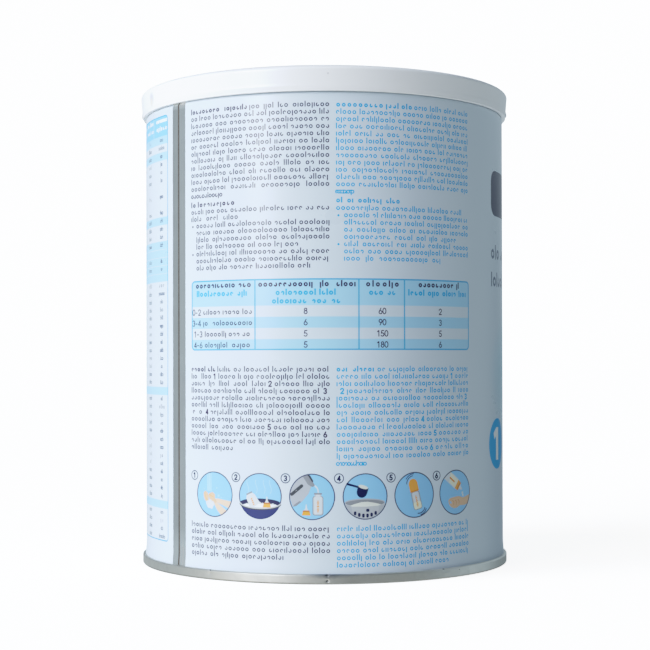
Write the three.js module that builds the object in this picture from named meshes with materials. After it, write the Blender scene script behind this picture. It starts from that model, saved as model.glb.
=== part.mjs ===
// A shut tin of milk powder: a necked steel body, a seamed bottom end and a push-on plastic lid.
// Millimetres, +Z up. The origin is the centre of the ring that the tin stands on.

import * as THREE from 'three';

// Steps round every turned piece, and steps in each rounded edge.
const AROUND = 96;
const ROUND_STEPS = 4;

// Room left between two pieces that touch on the real tin.
const GAP = 0.3;

// The tin: a nominal 127 mm body with 163.5 mm from seam to seam.
const BODY_R = 63.5;
const OVERALL_H = 165.3;

// The bottom seam: a folded steel ring, and the end panel sunk inside it.
const SEAM_R = 64.8;
const SEAM_H = 3.3;
const SEAM_WIDTH = 2.0;
const SEAM_ROUND = 0.6;
const SHEET = 0.7;
const SINK_DEPTH = 3.7;
const SINK_WIDTH = 2.4;
const PANEL_DEPTH = 2.3;
const BEAD_R = 44;
const BEAD_WIDTH = 5;
const BEAD_DEPTH = 0.7;

// The body widens a little above the seam and is necked in below the lid.
const FLARE = 0.25;
const FLARE_TOP = 8;
const NECK_START = 155.7;
const NECK_END = 158.3;
const NECK_R = 62.3;

// The lid: a tapered skirt drawn in at its foot, a flat-rounded top edge and a sunk panel.
const LID_BOTTOM = 156.6;
const LID_FOOT_R = 64.35;
const LID_FOOT_H = 2.2;
const LID_FOOT_EDGE = 0.25;
const LID_SKIRT_R = 64.85;
const LID_TOP_R = 65.25;
const LID_ROUND_WIDTH = 3.4;
const LID_ROUND_H = 1.7;
const LID_WALL = 1.25;
const LID_PLATE = 1.1;
const LID_RIM_WIDTH = 5.0;
const LID_SINK = 1.3;
const LID_SINK_ROUND = 0.8;

const whitePlastic = new THREE.MeshStandardMaterial({ color: 0xf1f4f6, roughness: 0.42, metalness: 0 });
const paintedWall = new THREE.MeshStandardMaterial({ color: 0xdce8f2, roughness: 0.32, metalness: 0.05 });
const tinplate = new THREE.MeshStandardMaterial({ color: 0xa9b0b3, roughness: 0.3, metalness: 0.9 });

// Points of a quarter turn about (r, z), from one angle to another in degrees, 0 being outwards.
function arc(r, z, width, from, to, height = width) {
  const points = [];
  for (let i = 0; i <= ROUND_STEPS; i += 1) {
    const angle = THREE.MathUtils.degToRad(from + ((to - from) * i) / ROUND_STEPS);
    points.push([r + width * Math.cos(angle), z + height * Math.sin(angle)]);
  }
  return points;
}

// Points of a smooth S from one radius and height to another.
function sCurve(fromR, fromZ, toR, toZ) {
  const points = [];
  for (let i = 0; i <= ROUND_STEPS; i += 1) {
    const t = i / ROUND_STEPS;
    const ease = t * t * (3 - 2 * t);
    points.push([fromR + (toR - fromR) * ease, fromZ + (toZ - fromZ) * t]);
  }
  return points;
}

// A solid of revolution about Z from [radius, height] points, listed up its outside.
function turned(name, profile, material) {
  const points = profile.map(([r, z]) => new THREE.Vector2(r, z));
  const geometry = new THREE.LatheGeometry(points, AROUND);
  geometry.rotateX(Math.PI / 2);
  const mesh = new THREE.Mesh(geometry, material);
  mesh.name = name;
  return mesh;
}

// The filled body, from its underside to the flat top that the lid covers.
function tinBody() {
  const foot = SEAM_H + GAP;
  const innerR = SEAM_R - SEAM_WIDTH;
  const sinkR = innerR - SINK_WIDTH;
  const panelZ = PANEL_DEPTH + SHEET + GAP;
  const sinkZ = SINK_DEPTH + SHEET + GAP;
  const top = OVERALL_H - LID_SINK - LID_PLATE - GAP;
  return turned('tin_body', [
    [0, panelZ],
    [sinkR - SINK_WIDTH / 2 - GAP, panelZ],
    [sinkR - GAP, sinkZ],
    [innerR, sinkZ],
    [innerR, foot],
    ...sCurve(BODY_R + FLARE, foot, BODY_R, FLARE_TOP),
    ...sCurve(BODY_R, NECK_START, NECK_R, NECK_END),
    [NECK_R, top],
    [0, top],
  ], paintedWall);
}

// The steel end: its seam ring, the sink inside the ring, and a panel with one stiffening bead.
function bottomEnd() {
  const innerR = SEAM_R - SEAM_WIDTH;
  const sinkR = innerR - SINK_WIDTH;
  const beadOuter = BEAD_R + BEAD_WIDTH / 2;
  const beadInner = BEAD_R - BEAD_WIDTH / 2;
  const beadZ = PANEL_DEPTH - BEAD_DEPTH;
  return turned('bottom_end', [
    [0, PANEL_DEPTH],
    [beadInner - BEAD_DEPTH, PANEL_DEPTH],
    [beadInner, beadZ],
    [beadOuter, beadZ],
    [beadOuter + BEAD_DEPTH, PANEL_DEPTH],
    [sinkR - SINK_WIDTH / 2, PANEL_DEPTH],
    [sinkR, SINK_DEPTH],
    [innerR - SHEET, SINK_DEPTH],
    [innerR, SEAM_ROUND],
    [innerR + SEAM_ROUND, 0],
    ...arc(SEAM_R - SEAM_ROUND, SEAM_ROUND, SEAM_ROUND, -90, 0),
    ...arc(SEAM_R - SEAM_ROUND, SEAM_H - SEAM_ROUND, SEAM_ROUND, 0, 90),
    [innerR, SEAM_H],
    [innerR - GAP, SINK_DEPTH + SHEET],
    [sinkR, SINK_DEPTH + SHEET],
    [sinkR - SINK_WIDTH / 2, PANEL_DEPTH + SHEET],
    [0, PANEL_DEPTH + SHEET],
  ], tinplate);
}

// The lid, from the middle of its sunk panel's underside, down inside the skirt and up outside.
function lid() {
  const plateTop = OVERALL_H - LID_SINK;
  const plateUnder = plateTop - LID_PLATE;
  const insideR = LID_SKIRT_R - LID_WALL;
  const shoulderR = LID_TOP_R - LID_ROUND_WIDTH;
  const shoulderZ = OVERALL_H - LID_ROUND_H;
  const rimInner = LID_TOP_R - LID_RIM_WIDTH;
  return turned('lid', [
    [0, plateUnder],
    [insideR, plateUnder],
    [insideR, LID_BOTTOM + LID_FOOT_EDGE],
    [insideR + LID_FOOT_EDGE, LID_BOTTOM],
    [LID_FOOT_R - LID_FOOT_EDGE, LID_BOTTOM],
    [LID_FOOT_R, LID_BOTTOM + LID_FOOT_EDGE],
    [LID_SKIRT_R, LID_BOTTOM + LID_FOOT_H],
    ...arc(shoulderR, shoulderZ, LID_ROUND_WIDTH, 0, 90, LID_ROUND_H),
    ...arc(rimInner, OVERALL_H - LID_SINK_ROUND, LID_SINK_ROUND, 90, 180),
    [rimInner - LID_SINK_ROUND, plateTop],
    [0, plateTop],
  ], whitePlastic);
}

const group = new THREE.Group();
group.add(tinBody(), bottomEnd(), lid());

export default group;
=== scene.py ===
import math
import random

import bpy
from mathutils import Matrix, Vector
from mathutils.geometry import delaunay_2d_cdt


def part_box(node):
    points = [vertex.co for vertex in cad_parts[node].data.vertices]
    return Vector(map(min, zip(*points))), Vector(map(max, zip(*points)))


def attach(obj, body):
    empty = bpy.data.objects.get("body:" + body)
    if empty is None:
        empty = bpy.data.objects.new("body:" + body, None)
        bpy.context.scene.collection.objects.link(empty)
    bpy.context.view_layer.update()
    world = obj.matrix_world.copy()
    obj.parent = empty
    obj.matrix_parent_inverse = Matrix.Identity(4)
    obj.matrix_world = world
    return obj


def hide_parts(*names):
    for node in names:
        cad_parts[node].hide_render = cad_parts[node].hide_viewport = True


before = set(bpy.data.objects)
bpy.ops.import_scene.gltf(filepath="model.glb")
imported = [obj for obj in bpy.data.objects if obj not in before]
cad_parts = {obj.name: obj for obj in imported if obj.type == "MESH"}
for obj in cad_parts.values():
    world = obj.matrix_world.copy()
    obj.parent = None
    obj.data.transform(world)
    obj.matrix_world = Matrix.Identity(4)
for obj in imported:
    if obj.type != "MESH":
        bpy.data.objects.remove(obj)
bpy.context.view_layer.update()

# A shut tin of milk powder: steel body with a printed wall, seamed bottom end, push-on plastic lid.
# Lengths are millimetres until a mesh is written, which is in metres. Heights are from the floor.
# A place on the wall is an arc and a height: the arc is measured along the wall from its front,
# which faces -Y, and grows to the right as seen from there.

MM = 0.001

# Sizes taken from the frame
TIN_LOW, TIN_HIGH = ([v / MM for v in corner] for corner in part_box("tin_body"))
END_HIGH = [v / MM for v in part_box("bottom_end")[1]]
LID_LOW, LID_HIGH = ([v / MM for v in corner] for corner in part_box("lid"))

# The wall
FLARE = 0.25
FLARE_TOP = 8.0
WALL_R = TIN_HIGH[0] - FLARE
WALL_FOOT = 2.9
WALL_TOP = 158.3
NECK_START = 155.7
NECK_R = 62.3
PRINT_R = 63.7
HALF_ROUND = math.pi * PRINT_R
QUARTER_ROUND = HALF_ROUND / 2
GRID_COLUMNS = 180

# The bottom seam
SEAM_R = END_HIGH[0]
SEAM_H = 3.3
SEAM_WIDTH = 2.0
SEAM_ROUND = 0.55

# The lid
LID_BOTTOM = LID_LOW[2]
LID_TOP = LID_HIGH[2]
LID_FOOT_R = 64.62
LID_FOOT_H = 2.2
LID_FOOT_EDGE = 0.18
LID_SKIRT_R = 64.83
LID_TOP_R = 65.21
LID_ROUND_WIDTH = 3.4
LID_ROUND_H = 1.7
LID_RIM_WIDTH = 5.0
LID_SINK = 1.3
LID_WALL = 1.25

# The bare side seam, where the wall's two edges are welded
BARE_LEFT = -58.75
BARE_RIGHT = -51.45
WELD = -55.15
WELD_HALF = 0.42

# Print: the panels and the type
COLUMN_LEFT = (-48.4, 1.7)
COLUMN_RIGHT = (3.8, 54.0)
LINE_PITCH = 2.305
MARK_H = 1.30
MARK_W = 0.365
BOLD_W = 0.46
DIGIT_H = 2.0
DIGIT_PEN = 0.34


# Colours, as linear light
INKS = {
    "ground": (0.560, 0.660, 0.765),
    "pale_blue": (0.31, 0.59, 0.84),
    "sky": (0.215, 0.505, 0.86),
    "head_blue": (0.17, 0.50, 0.86),
    "line_blue": (0.06, 0.34, 0.68),
    "cyan_ink": (0.015, 0.33, 0.73),
    "text_navy": (0.026, 0.014, 0.055),
    "navy": (0.003, 0.005, 0.048),
    "pot_blue": (0.006, 0.014, 0.105),
    "slate": (0.10, 0.135, 0.21),
    "outline": (0.035, 0.040, 0.10),
    "white": (0.76, 0.80, 0.83),
    "milk": (0.72, 0.74, 0.58),
    "orange": (0.72, 0.32, 0.05),
    "rust": (0.42, 0.15, 0.04),
    "tan": (0.62, 0.42, 0.26),
    "pale_tan": (0.66, 0.51, 0.37),
    "light_grey": (0.42, 0.46, 0.50),
    "mid_grey": (0.20, 0.22, 0.25),
    "dark_grey": (0.035, 0.04, 0.05),
    "steel_grey": (0.36, 0.40, 0.455),
    "glass": (0.56, 0.63, 0.70),
    "powder": (0.66, 0.71, 0.66),
    "deep_orange": (0.60, 0.22, 0.03),
}
BARE_SLOTS = ("bare_steel", "bare_steel_painted_lighter", "weld_line")


def smooth_step(t):
    t = min(max(t, 0.0), 1.0)
    return t * t * (3 - 2 * t)


# Node helpers


def new_material(name, colour, roughness, metallic=0.0, specular=0.5):
    """A material whose even values sit on the shader itself."""
    material = bpy.data.materials.new(name)
    material.use_nodes = True
    material.diffuse_color = (*colour, 1)
    shader = material.node_tree.nodes["Principled BSDF"]
    shader.inputs["Base Color"].default_value = (*colour, 1)
    shader.inputs["Roughness"].default_value = roughness
    shader.inputs["Metallic"].default_value = metallic
    shader.inputs["Specular IOR Level"].default_value = specular
    return material, shader


def add_node(material, kind):
    return material.node_tree.nodes.new("ShaderNode" + kind)


def own_place(material):
    """Where a point is on its own piece, in metres."""
    return add_node(material, "TexCoord").outputs["Object"]


def own_axes(material):
    """The same place as its X, Y and Z."""
    split = add_node(material, "SeparateXYZ")
    material.node_tree.links.new(own_place(material), split.inputs["Vector"])
    return [split.outputs[axis] for axis in "XYZ"]


def noise(material, scale, detail=3.0, stretch=(1, 1, 1), distortion=0.0):
    """A noise value over the piece's own coordinates, in features per metre."""
    links = material.node_tree.links
    mapping = add_node(material, "Mapping")
    mapping.inputs["Scale"].default_value = stretch
    texture = add_node(material, "TexNoise")
    texture.inputs["Scale"].default_value = scale
    texture.inputs["Detail"].default_value = detail
    texture.inputs["Distortion"].default_value = distortion
    links.new(own_place(material), mapping.inputs["Vector"])
    links.new(mapping.outputs["Vector"], texture.inputs["Vector"])
    return texture.outputs["Fac"]


def to_range(material, value, low, high, from_low=0.3, from_high=0.7):
    ranged = add_node(material, "MapRange")
    ranged.inputs["From Min"].default_value = from_low
    ranged.inputs["From Max"].default_value = from_high
    ranged.inputs["To Min"].default_value = low
    ranged.inputs["To Max"].default_value = high
    material.node_tree.links.new(value, ranged.inputs["Value"])
    return ranged.outputs["Result"]


def blend_colours(material, factor, first, second):
    links = material.node_tree.links
    mix = add_node(material, "Mix")
    mix.data_type = "RGBA"
    for socket, colour in (("A", first), ("B", second)):
        end = [i for i in mix.inputs if i.name == socket and i.type == "RGBA"][0]
        if isinstance(colour, tuple):
            end.default_value = (*colour, 1)
        else:
            links.new(colour, end)
    links.new(factor, mix.inputs["Factor"])
    return [o for o in mix.outputs if o.type == "RGBA"][0]


def bumps(material, shader, height, distance, strength=1.0):
    links = material.node_tree.links
    bump = add_node(material, "Bump")
    bump.inputs["Distance"].default_value = distance
    bump.inputs["Strength"].default_value = strength
    links.new(height, bump.inputs["Height"])
    links.new(bump.outputs["Normal"], shader.inputs["Normal"])


def link(material, value, shader, socket):
    material.node_tree.links.new(value, shader.inputs[socket])


# Materials


def lacquered_ink(name, colour):
    """One printed colour under the wall's clear lacquer: its gloss varies and the sheet is faintly wavy."""
    material, shader = new_material(name, colour, 0.30, specular=0.5)
    link(material, to_range(material, noise(material, 45, 4), 0.27, 0.32), shader, "Roughness")
    bumps(material, shader, noise(material, 60, 2), 0.00004, 0.5)
    return material


def ground_ink():
    """The pale ground, with the soft blue field of the front panel shaded into it."""
    material = lacquered_ink("print_ground", INKS["ground"])
    shader = material.node_tree.nodes["Principled BSDF"]
    shade = to_range(material, noise(material, 25, 3), 0.0, 1.0)
    ground = INKS["ground"]
    deeper = tuple(c * k for c, k in zip(ground, (0.975, 0.985, 0.99)))
    even = blend_colours(material, shade, ground, deeper)
    link(material, blend_colours(material, front_field(material), even, FIELD_COLOUR), shader, "Base Color")
    return material


FIELD_COLOUR = (0.40, 0.61, 0.745)
FIELD_ARC = 125.0
FIELD_Z = 66.0
FIELD_HALF = (56.0, 30.0)


def front_field(material):
    """1 inside a soft ellipse on the front panel, 0 outside, worked out from where a point is."""
    links = material.node_tree.links
    angle = FIELD_ARC / PRINT_R
    out = (math.sin(angle), -math.cos(angle))
    along = (math.cos(angle), math.sin(angle))

    def combine(operation, first, second):
        node = add_node(material, "Math")
        node.operation = operation
        for socket, value in zip(node.inputs, (first, second)):
            if isinstance(value, (int, float)):
                socket.default_value = value
            else:
                links.new(value, socket)
        return node.outputs[0]

    x, y, z = own_axes(material)
    facing = combine("ADD", combine("MULTIPLY", x, out[0]), combine("MULTIPLY", y, out[1]))
    aside = combine("ADD", combine("MULTIPLY", x, along[0]), combine("MULTIPLY", y, along[1]))
    turn = combine("ARCTAN2", aside, facing)
    across = combine("MULTIPLY", turn, PRINT_R / FIELD_HALF[0])
    up = combine("MULTIPLY", combine("SUBTRACT", z, FIELD_Z * MM), 1 / (FIELD_HALF[1] * MM))
    squares = combine("ADD", combine("MULTIPLY", across, across), combine("MULTIPLY", up, up))
    return to_range(material, combine("SQRT", squares, 0.0), 1.0, 0.0, 0.72, 1.02)


def painted_sheen_at_bends(material):
    """1 where the wall was bent to widen it above the seam and to neck it under the lid, 0 between: where a
    painted sheen lightens the bare steel, as if the bends caught the light.
    """
    links = material.node_tree.links
    height = own_axes(material)[2]
    low = to_range(material, height, 1.0, 0.0, 9 * MM, 16 * MM)
    high = to_range(material, height, 0.0, 1.0, 154.4 * MM, 155.2 * MM)
    both = add_node(material, "Math")
    both.operation = "MAXIMUM"
    links.new(low, both.inputs[0])
    links.new(high, both.inputs[1])
    return both.outputs[0]


def bare_steel(name, colour):
    """Bare tinplate, drawn lengthwise: fine streaks up the wall and faint blotches, with a painted highlight
    lightening it where the wall bends above the seam and under the lid.
    """
    roughness = 0.27
    material, shader = new_material(name, colour, roughness, metallic=1.0)
    streaks = noise(material, 900, 2, stretch=(1, 1, 0.02))
    blotches = noise(material, 120, 4)
    shade = to_range(material, blotches, 0.0, 1.0)
    darker = tuple(c * 0.90 for c in colour)
    painted_sheen_colour = tuple(c * 1.25 for c in colour)
    drawn = blend_colours(material, shade, colour, darker)
    # Painted highlight: the steel is lightened where the wall bends, as if the bends caught the light.
    link(material, blend_colours(material, painted_sheen_at_bends(material), drawn, painted_sheen_colour), shader, "Base Color")
    link(material, to_range(material, streaks, roughness - 0.04, roughness + 0.05), shader, "Roughness")
    bumps(material, shader, streaks, 0.00001, 0.5)
    return material


def weld_line():
    """The scorched line of the weld."""
    colour = (0.125, 0.11, 0.095)
    material, shader = new_material("weld_line", colour, 0.5, metallic=0.55)
    specks = noise(material, 1500, 3)
    shade = to_range(material, specks, 0.0, 1.0)
    link(material, blend_colours(material, shade, colour, (0.07, 0.055, 0.045)), shader, "Base Color")
    bumps(material, shader, specks, 0.00003, 0.8)
    return material


# Dark spots across the front of the seam ring's top, partly smudges and partly a painted reflection of
# something dark above, as arc, height, size and colour
SEAM_SMUDGES_AND_DARK_REFLECTION = (
    (-6.2, 4.00, 1.9, (0.60, 0.61, 0.61)),
    (10.0, 4.00, 1.9, (0.58, 0.59, 0.60)),
    (-4.6, 3.95, 2.0, (0.50, 0.52, 0.53)),
    (8.2, 3.95, 2.0, (0.52, 0.53, 0.55)),
    (-3.0, 3.90, 2.1, (0.40, 0.42, 0.45)),
    (6.4, 3.90, 2.1, (0.45, 0.47, 0.50)),
    (-1.4, 3.80, 2.1, (0.28, 0.31, 0.34)),
    (4.6, 3.85, 2.1, (0.38, 0.40, 0.44)),
    (2.8, 3.75, 2.1, (0.27, 0.30, 0.34)),
    (0.7, 3.65, 2.1, (0.18, 0.20, 0.24)),
)


def seam_steel():
    """The seam ring: rolled tinplate with streaks along the ring and blotchy smudges, a painted shadow along
    its bottom edge, and darker spots across the front of its top, partly smudges and partly a painted
    reflection of something dark above.
    """
    colour = (0.76, 0.76, 0.715)
    material, shader = new_material("seam_steel", colour, 0.45, metallic=1.0)
    streaks = noise(material, 2200, 2, stretch=(0.04, 0.04, 1))
    smudges = noise(material, 260, 5, distortion=0.6)
    shade = to_range(material, smudges, 0.0, 1.0, 0.35, 0.75)
    even = blend_colours(material, shade, colour, (0.67, 0.67, 0.635))
    # Painted shadow: the ring is darkened along its bottom edge, where it meets the floor.
    painted_shade_and_spots = blend_colours(material, below(material, 0.35, 0.35), even, (0.34, 0.34, 0.32))
    # Dark spots across the front of the ring's top: partly smudges, partly a painted reflection of something
    # dark above.
    for arc, height, size, tint in SEAM_SMUDGES_AND_DARK_REFLECTION:
        painted_shade_and_spots = blend_colours(material, spot(material, arc, height, size, SEAM_R), painted_shade_and_spots, tint)
    link(material, painted_shade_and_spots, shader, "Base Color")
    link(material, to_range(material, smudges, 0.40, 0.50), shader, "Roughness")
    bumps(material, shader, streaks, 0.000015, 0.6)
    return material


def scuffed_steel():
    """Painted shade in the bottom of a knock in the seam ring."""
    colour = (0.10, 0.105, 0.105)
    material, shader = new_material("scuffed_steel", colour, 0.55, metallic=0.8)
    specks = noise(material, 1800, 3)
    shade = to_range(material, specks, 0.0, 1.0)
    link(material, blend_colours(material, shade, colour, (0.05, 0.052, 0.055)), shader, "Base Color")
    bumps(material, shader, specks, 0.00002, 0.7)
    return material


def below(material, height, soften):
    """1 under a height, easing to 0 just above it."""
    return to_range(material, own_axes(material)[2], 1.0, 0.0, height * MM, (height + soften) * MM)


def spot(material, arc, height, size, radius):
    """1 in the middle of a soft round spot on a turned piece, 0 from its edge on."""
    angle = arc / radius
    middle = (radius * math.sin(angle), -radius * math.cos(angle), height)
    away = add_node(material, "VectorMath")
    away.operation = "DISTANCE"
    away.inputs[1].default_value = [c * MM for c in middle]
    material.node_tree.links.new(own_place(material), away.inputs[0])
    return to_range(material, away.outputs["Value"], 1.0, 0.0, size * MM * 0.35, size * MM)


# Darker spots on the lid over its dents, as arc, height, size and colour
LID_DENT_SPOTS = (
    (-73.9, 160.7, 2.5, (0.58, 0.61, 0.68)),
    (-74.4, 159.3, 2.0, (0.72, 0.70, 0.65)),
    (1.3, 162.1, 0.45, (0.55, 0.56, 0.60)),
)


def lid_plastic():
    """White moulded polyethylene: soft, faintly mottled, with a fine texture."""
    colour = (0.835, 0.86, 0.90)
    material, shader = new_material("lid_plastic", colour, 0.31, specular=0.75)
    mottle = noise(material, 70, 4)
    grain = noise(material, 2600, 2)
    shade = to_range(material, mottle, 0.0, 1.0)
    even = blend_colours(material, shade, colour, (0.82, 0.847, 0.888))
    for arc, height, size, tint in LID_DENT_SPOTS:
        even = blend_colours(material, spot(material, arc, height, size, LID_TOP_R), even, tint)
    link(material, even, shader, "Base Color")
    link(material, to_range(material, mottle, 0.28, 0.35), shader, "Roughness")
    bumps(material, shader, grain, 0.000008, 0.5)
    return material


# Shapes drawn flat


def arc_points(x, y, radius, start, end, steps, squash=1.0):
    """Points along an arc, by angles in degrees."""
    points = []
    for i in range(steps + 1):
        angle = math.radians(start + (end - start) * i / steps)
        points.append((x + radius * math.cos(angle), y + squash * radius * math.sin(angle)))
    return points


def round_box(x0, y0, x1, y1, radius, steps=5):
    corners = ((x1, y0, -90), (x1, y1, 0), (x0, y1, 90), (x0, y0, 180))
    points = []
    for x, y, start in corners:
        inner_x = x - radius if x == x1 else x + radius
        inner_y = y - radius if y == y1 else y + radius
        points += arc_points(inner_x, inner_y, radius, start, start + 90, steps)
    return points


def placed(points, x, y, turn=0.0, scale=1.0):
    """Points turned by degrees, scaled and moved."""
    c, s = math.cos(math.radians(turn)), math.sin(math.radians(turn))
    return [(x + scale * (c * px - s * py), y + scale * (s * px + c * py)) for px, py in points]


class Print:
    """Flat shapes for the unrolled wall. A later shape lies over an earlier one."""

    def __init__(self):
        self.points, self.outlines, self.inks = [], [], []

    def shape(self, outline, ink):
        area = 0.0
        for (ax, ay), (bx, by) in zip(outline, outline[1:] + outline[:1]):
            area += ax * by - bx * ay
        if area < 0:
            outline = outline[::-1]
        first = len(self.points)
        self.points += outline
        self.outlines.append(list(range(first, first + len(outline))))
        self.inks.append(ink)

    def box(self, x0, y0, x1, y1, ink):
        self.shape([(x0, y0), (x1, y0), (x1, y1), (x0, y1)], ink)

    def disc(self, x, y, radius, ink, steps=40, squash=1.0):
        self.shape(arc_points(x, y, radius, 0, 360 - 360 / steps, steps - 1, squash), ink)

    def pen(self, points, width, ink, round_steps=8):
        """A line of even width with round joints."""
        for (ax, ay), (bx, by) in zip(points, points[1:]):
            length = math.hypot(bx - ax, by - ay)
            nx, ny = (ay - by) / length * width / 2, (bx - ax) / length * width / 2
            self.shape([(ax - nx, ay - ny), (bx - nx, by - ny), (bx + nx, by + ny), (ax + nx, ay + ny)], ink)
        for x, y in points:
            self.disc(x, y, width / 2, ink, round_steps)


# Plain numbers

DIGITS = {
    "0": [arc_points(0.30, 0.5, 0.26, 0, 360, 18, 1.75)],
    "1": [[(0.10, 0.76), (0.34, 0.95), (0.34, 0.05)]],
    "2": [arc_points(0.30, 0.69, 0.25, 175, -35, 9) + [(0.06, 0.05), (0.56, 0.05)]],
    "3": [arc_points(0.28, 0.72, 0.22, 150, -85, 9), arc_points(0.28, 0.28, 0.23, 85, -150, 9)],
    "4": [[(0.44, 0.05), (0.44, 0.95), (0.05, 0.27), (0.58, 0.27)]],
    "5": [[(0.52, 0.95), (0.17, 0.95), (0.10, 0.52)] + arc_points(0.28, 0.31, 0.26, 128, -150, 10)],
    "6": [arc_points(0.30, 0.30, 0.25, 0, 360, 16), [(0.07, 0.40), (0.38, 0.95)]],
    "8": [arc_points(0.30, 0.73, 0.20, 0, 360, 14), arc_points(0.30, 0.29, 0.24, 0, 360, 16)],
    "9": [arc_points(0.30, 0.70, 0.25, 0, 360, 16), [(0.53, 0.60), (0.22, 0.05)]],
    "-": [[(0.10, 0.42), (0.42, 0.42)]],
}
DIGIT_STEP = 0.66
NUMBER_H = 1.8
NUMBER_ROOM = 1.5


def number(sheet, text, x, y, height, ink, pen=None):
    """Plain digits centred on a place."""
    pen = pen or DIGIT_PEN
    left = x - DIGIT_STEP * len(text) * height / 2
    for i, digit in enumerate(text):
        start = left + (i * DIGIT_STEP + 0.03) * height
        for line in DIGITS[digit]:
            sheet.pen(placed(line, start, y - height / 2, scale=height), pen, ink, 6)


# Rows of marks that take the place of words: rings, open rings and strokes

RING_W = 1.30
OPEN_W = 1.12
MARK_GAP = 0.30
WORD_GAP = 0.95
WORD_LENGTHS = (2, 3, 3, 4, 5, 5, 6, 7, 8, 9, 11, 12)


def draw_word(rng):
    """One word's marks, as (kind, middle, rise above, drop below, turn), and its length."""
    marks, x = [], 0.0
    for _ in range(rng.choice(WORD_LENGTHS)):
        draw = rng.random()
        if draw < 0.32:
            tall = rng.random()
            rise = 0.55 if tall < 0.60 else 0.0
            drop = 0.45 if tall > 0.85 else 0.0
            marks.append(("stroke", x + MARK_W / 2, rise, drop, 0))
            x += MARK_W + MARK_GAP
        elif draw < 0.74:
            marks.append(("ring", x + RING_W / 2, 0, 0, 0))
            x += RING_W + MARK_GAP
        else:
            marks.append(("open", x + OPEN_W / 2, 0, 0, rng.choice((45, 135, 225, 315))))
            x += OPEN_W + MARK_GAP
    return marks, x - MARK_GAP


def draw_mark(sheet, mark, x, y, size, pen, ink, under):
    kind, _, rise, drop, turn = mark
    half = MARK_H / 2 * size
    if kind == "stroke":
        sheet.box(x - pen / 2, y - half - drop * size, x + pen / 2, y + half + rise * size, ink)
        return
    wide = (RING_W if kind == "ring" else OPEN_W) / 2 * size
    squash = half / wide
    inner_squash = (half - pen) / (wide - pen)
    if kind == "ring":
        sheet.disc(x, y, wide, ink, 10, squash)
        sheet.disc(x, y, wide - pen, under, 8, inner_squash)
        return
    outside = arc_points(x, y, wide, turn + 48, turn + 312, 7, squash)
    inside = arc_points(x, y, wide - pen, turn + 312, turn + 48, 6, inner_squash)
    sheet.shape(outside + inside, ink)


def word_row(sheet, left, right, y, ink, rng, bold=False, size=1.0, under="ground", ragged=False):
    """A row of words from left to right, centred on y at the height of small marks."""
    pen = (BOLD_W if bold else MARK_W) * size
    space = WORD_GAP * size
    words, used = [], 0.0
    while True:
        marks, length = draw_word(rng)
        while words and used + length * size > right - left and len(marks) > 2:
            marks = marks[:-1]
            length = marks[-1][1] + RING_W / 2
        if words and used + length * size > right - left:
            break
        words.append((marks, length * size))
        used += length * size + space
        if used > right - left - 1.2 * size:
            break
    gaps = max(len(words) - 1, 1)
    length = sum(length for _, length in words)
    gap = min((right - left - length) / gaps, 2.2 * size)
    fit = 1.0
    if ragged:
        gap = space
    elif len(words) == 1 or gap < 0.4 * size or gap == 2.2 * size:
        gap = space
        fit = (right - left - (len(words) - 1) * gap) / length
    x = left
    for marks, length in words:
        for mark in marks:
            draw_mark(sheet, mark, x + mark[1] * size * fit, y, size, pen, ink, under)
        x += length * fit + gap


def paragraph(sheet, column, top, lines, ink, rng, bold=0.0, last=1.0, indent=0.0, bullet=False, numbers=()):
    """Justified rows, the last one cut short, the first one led by a bolder stretch. Each of the
    numbers, given as its row and place, stands in a gap of its row."""
    left, right = column[0] + indent, column[1]
    for i in range(lines):
        y = top - i * LINE_PITCH
        start = left
        if i == 0 and bold:
            word_row(sheet, left, left + bold, y, ink, rng, bold=True)
            start = left + bold + 0.7
        for k, (row, place) in enumerate(numbers):
            if row == i:
                number(sheet, str(k + 1), place, y + 0.15, NUMBER_H, ink, BOLD_W)
                if place - NUMBER_ROOM - start > 1.5:
                    word_row(sheet, start, place - NUMBER_ROOM, y, ink, rng)
                start = place + NUMBER_ROOM
        end = right if i < lines - 1 else left + (right - left) * last
        if end - start > 1.5:
            word_row(sheet, start, end, y, ink, rng)
    if bullet:
        sheet.disc(column[0] + 0.75, top, 0.36, ink, 10)


# The instructions panel. Its step numbers are given as a row of their paragraph and an arc.

LEFT_NUMBERS = ((1, -38.0), (2, -17.7), (3, 0.2), (6, -41.3), (8, -18.0), (9, 0.2))
RIGHT_NUMBERS = ((1, 45.6), (3, 5.6), (4, 52.6), (7, 33.3), (9, 38.3), (11, 36.8))


def instructions(sheet, rng):
    left, right = COLUMN_LEFT, COLUMN_RIGHT
    paragraph(sheet, left, 152.5, 13, "text_navy", rng, bold=23.0, last=0.27)
    word_row(sheet, left[0], left[0] + 18.3, 121.9, "text_navy", rng, bold=True)
    paragraph(sheet, left, 119.6, 2, "text_navy", rng, last=0.39)
    paragraph(sheet, left, 115.0, 4, "text_navy", rng, last=0.79, indent=2.4, bullet=True)
    paragraph(sheet, left, 105.8, 3, "text_navy", rng, last=0.88, indent=2.4, bullet=True)
    paragraph(sheet, left, 68.1, 12, "text_navy", rng, bold=10.8, last=0.35, numbers=LEFT_NUMBERS)
    paragraph(sheet, left, 17.4, 5, "text_navy", rng, last=0.70)

    paragraph(sheet, right, 152.4, 13, "cyan_ink", rng, bold=25.8, last=0.11)
    word_row(sheet, right[0], right[0] + 21.2, 121.9, "cyan_ink", rng, bold=True)
    paragraph(sheet, right, 119.5, 1, "cyan_ink", rng, last=0.93)
    paragraph(sheet, right, 117.2, 4, "cyan_ink", rng, last=0.87, indent=2.5, bullet=True)
    paragraph(sheet, right, 108.0, 3, "cyan_ink", rng, last=0.72, indent=2.5, bullet=True)
    paragraph(sheet, right, 68.1, 14, "cyan_ink", rng, bold=12.6, last=0.19, numbers=RIGHT_NUMBERS)
    paragraph(sheet, right, 17.4, 6, "cyan_ink", rng, last=0.80)


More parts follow.
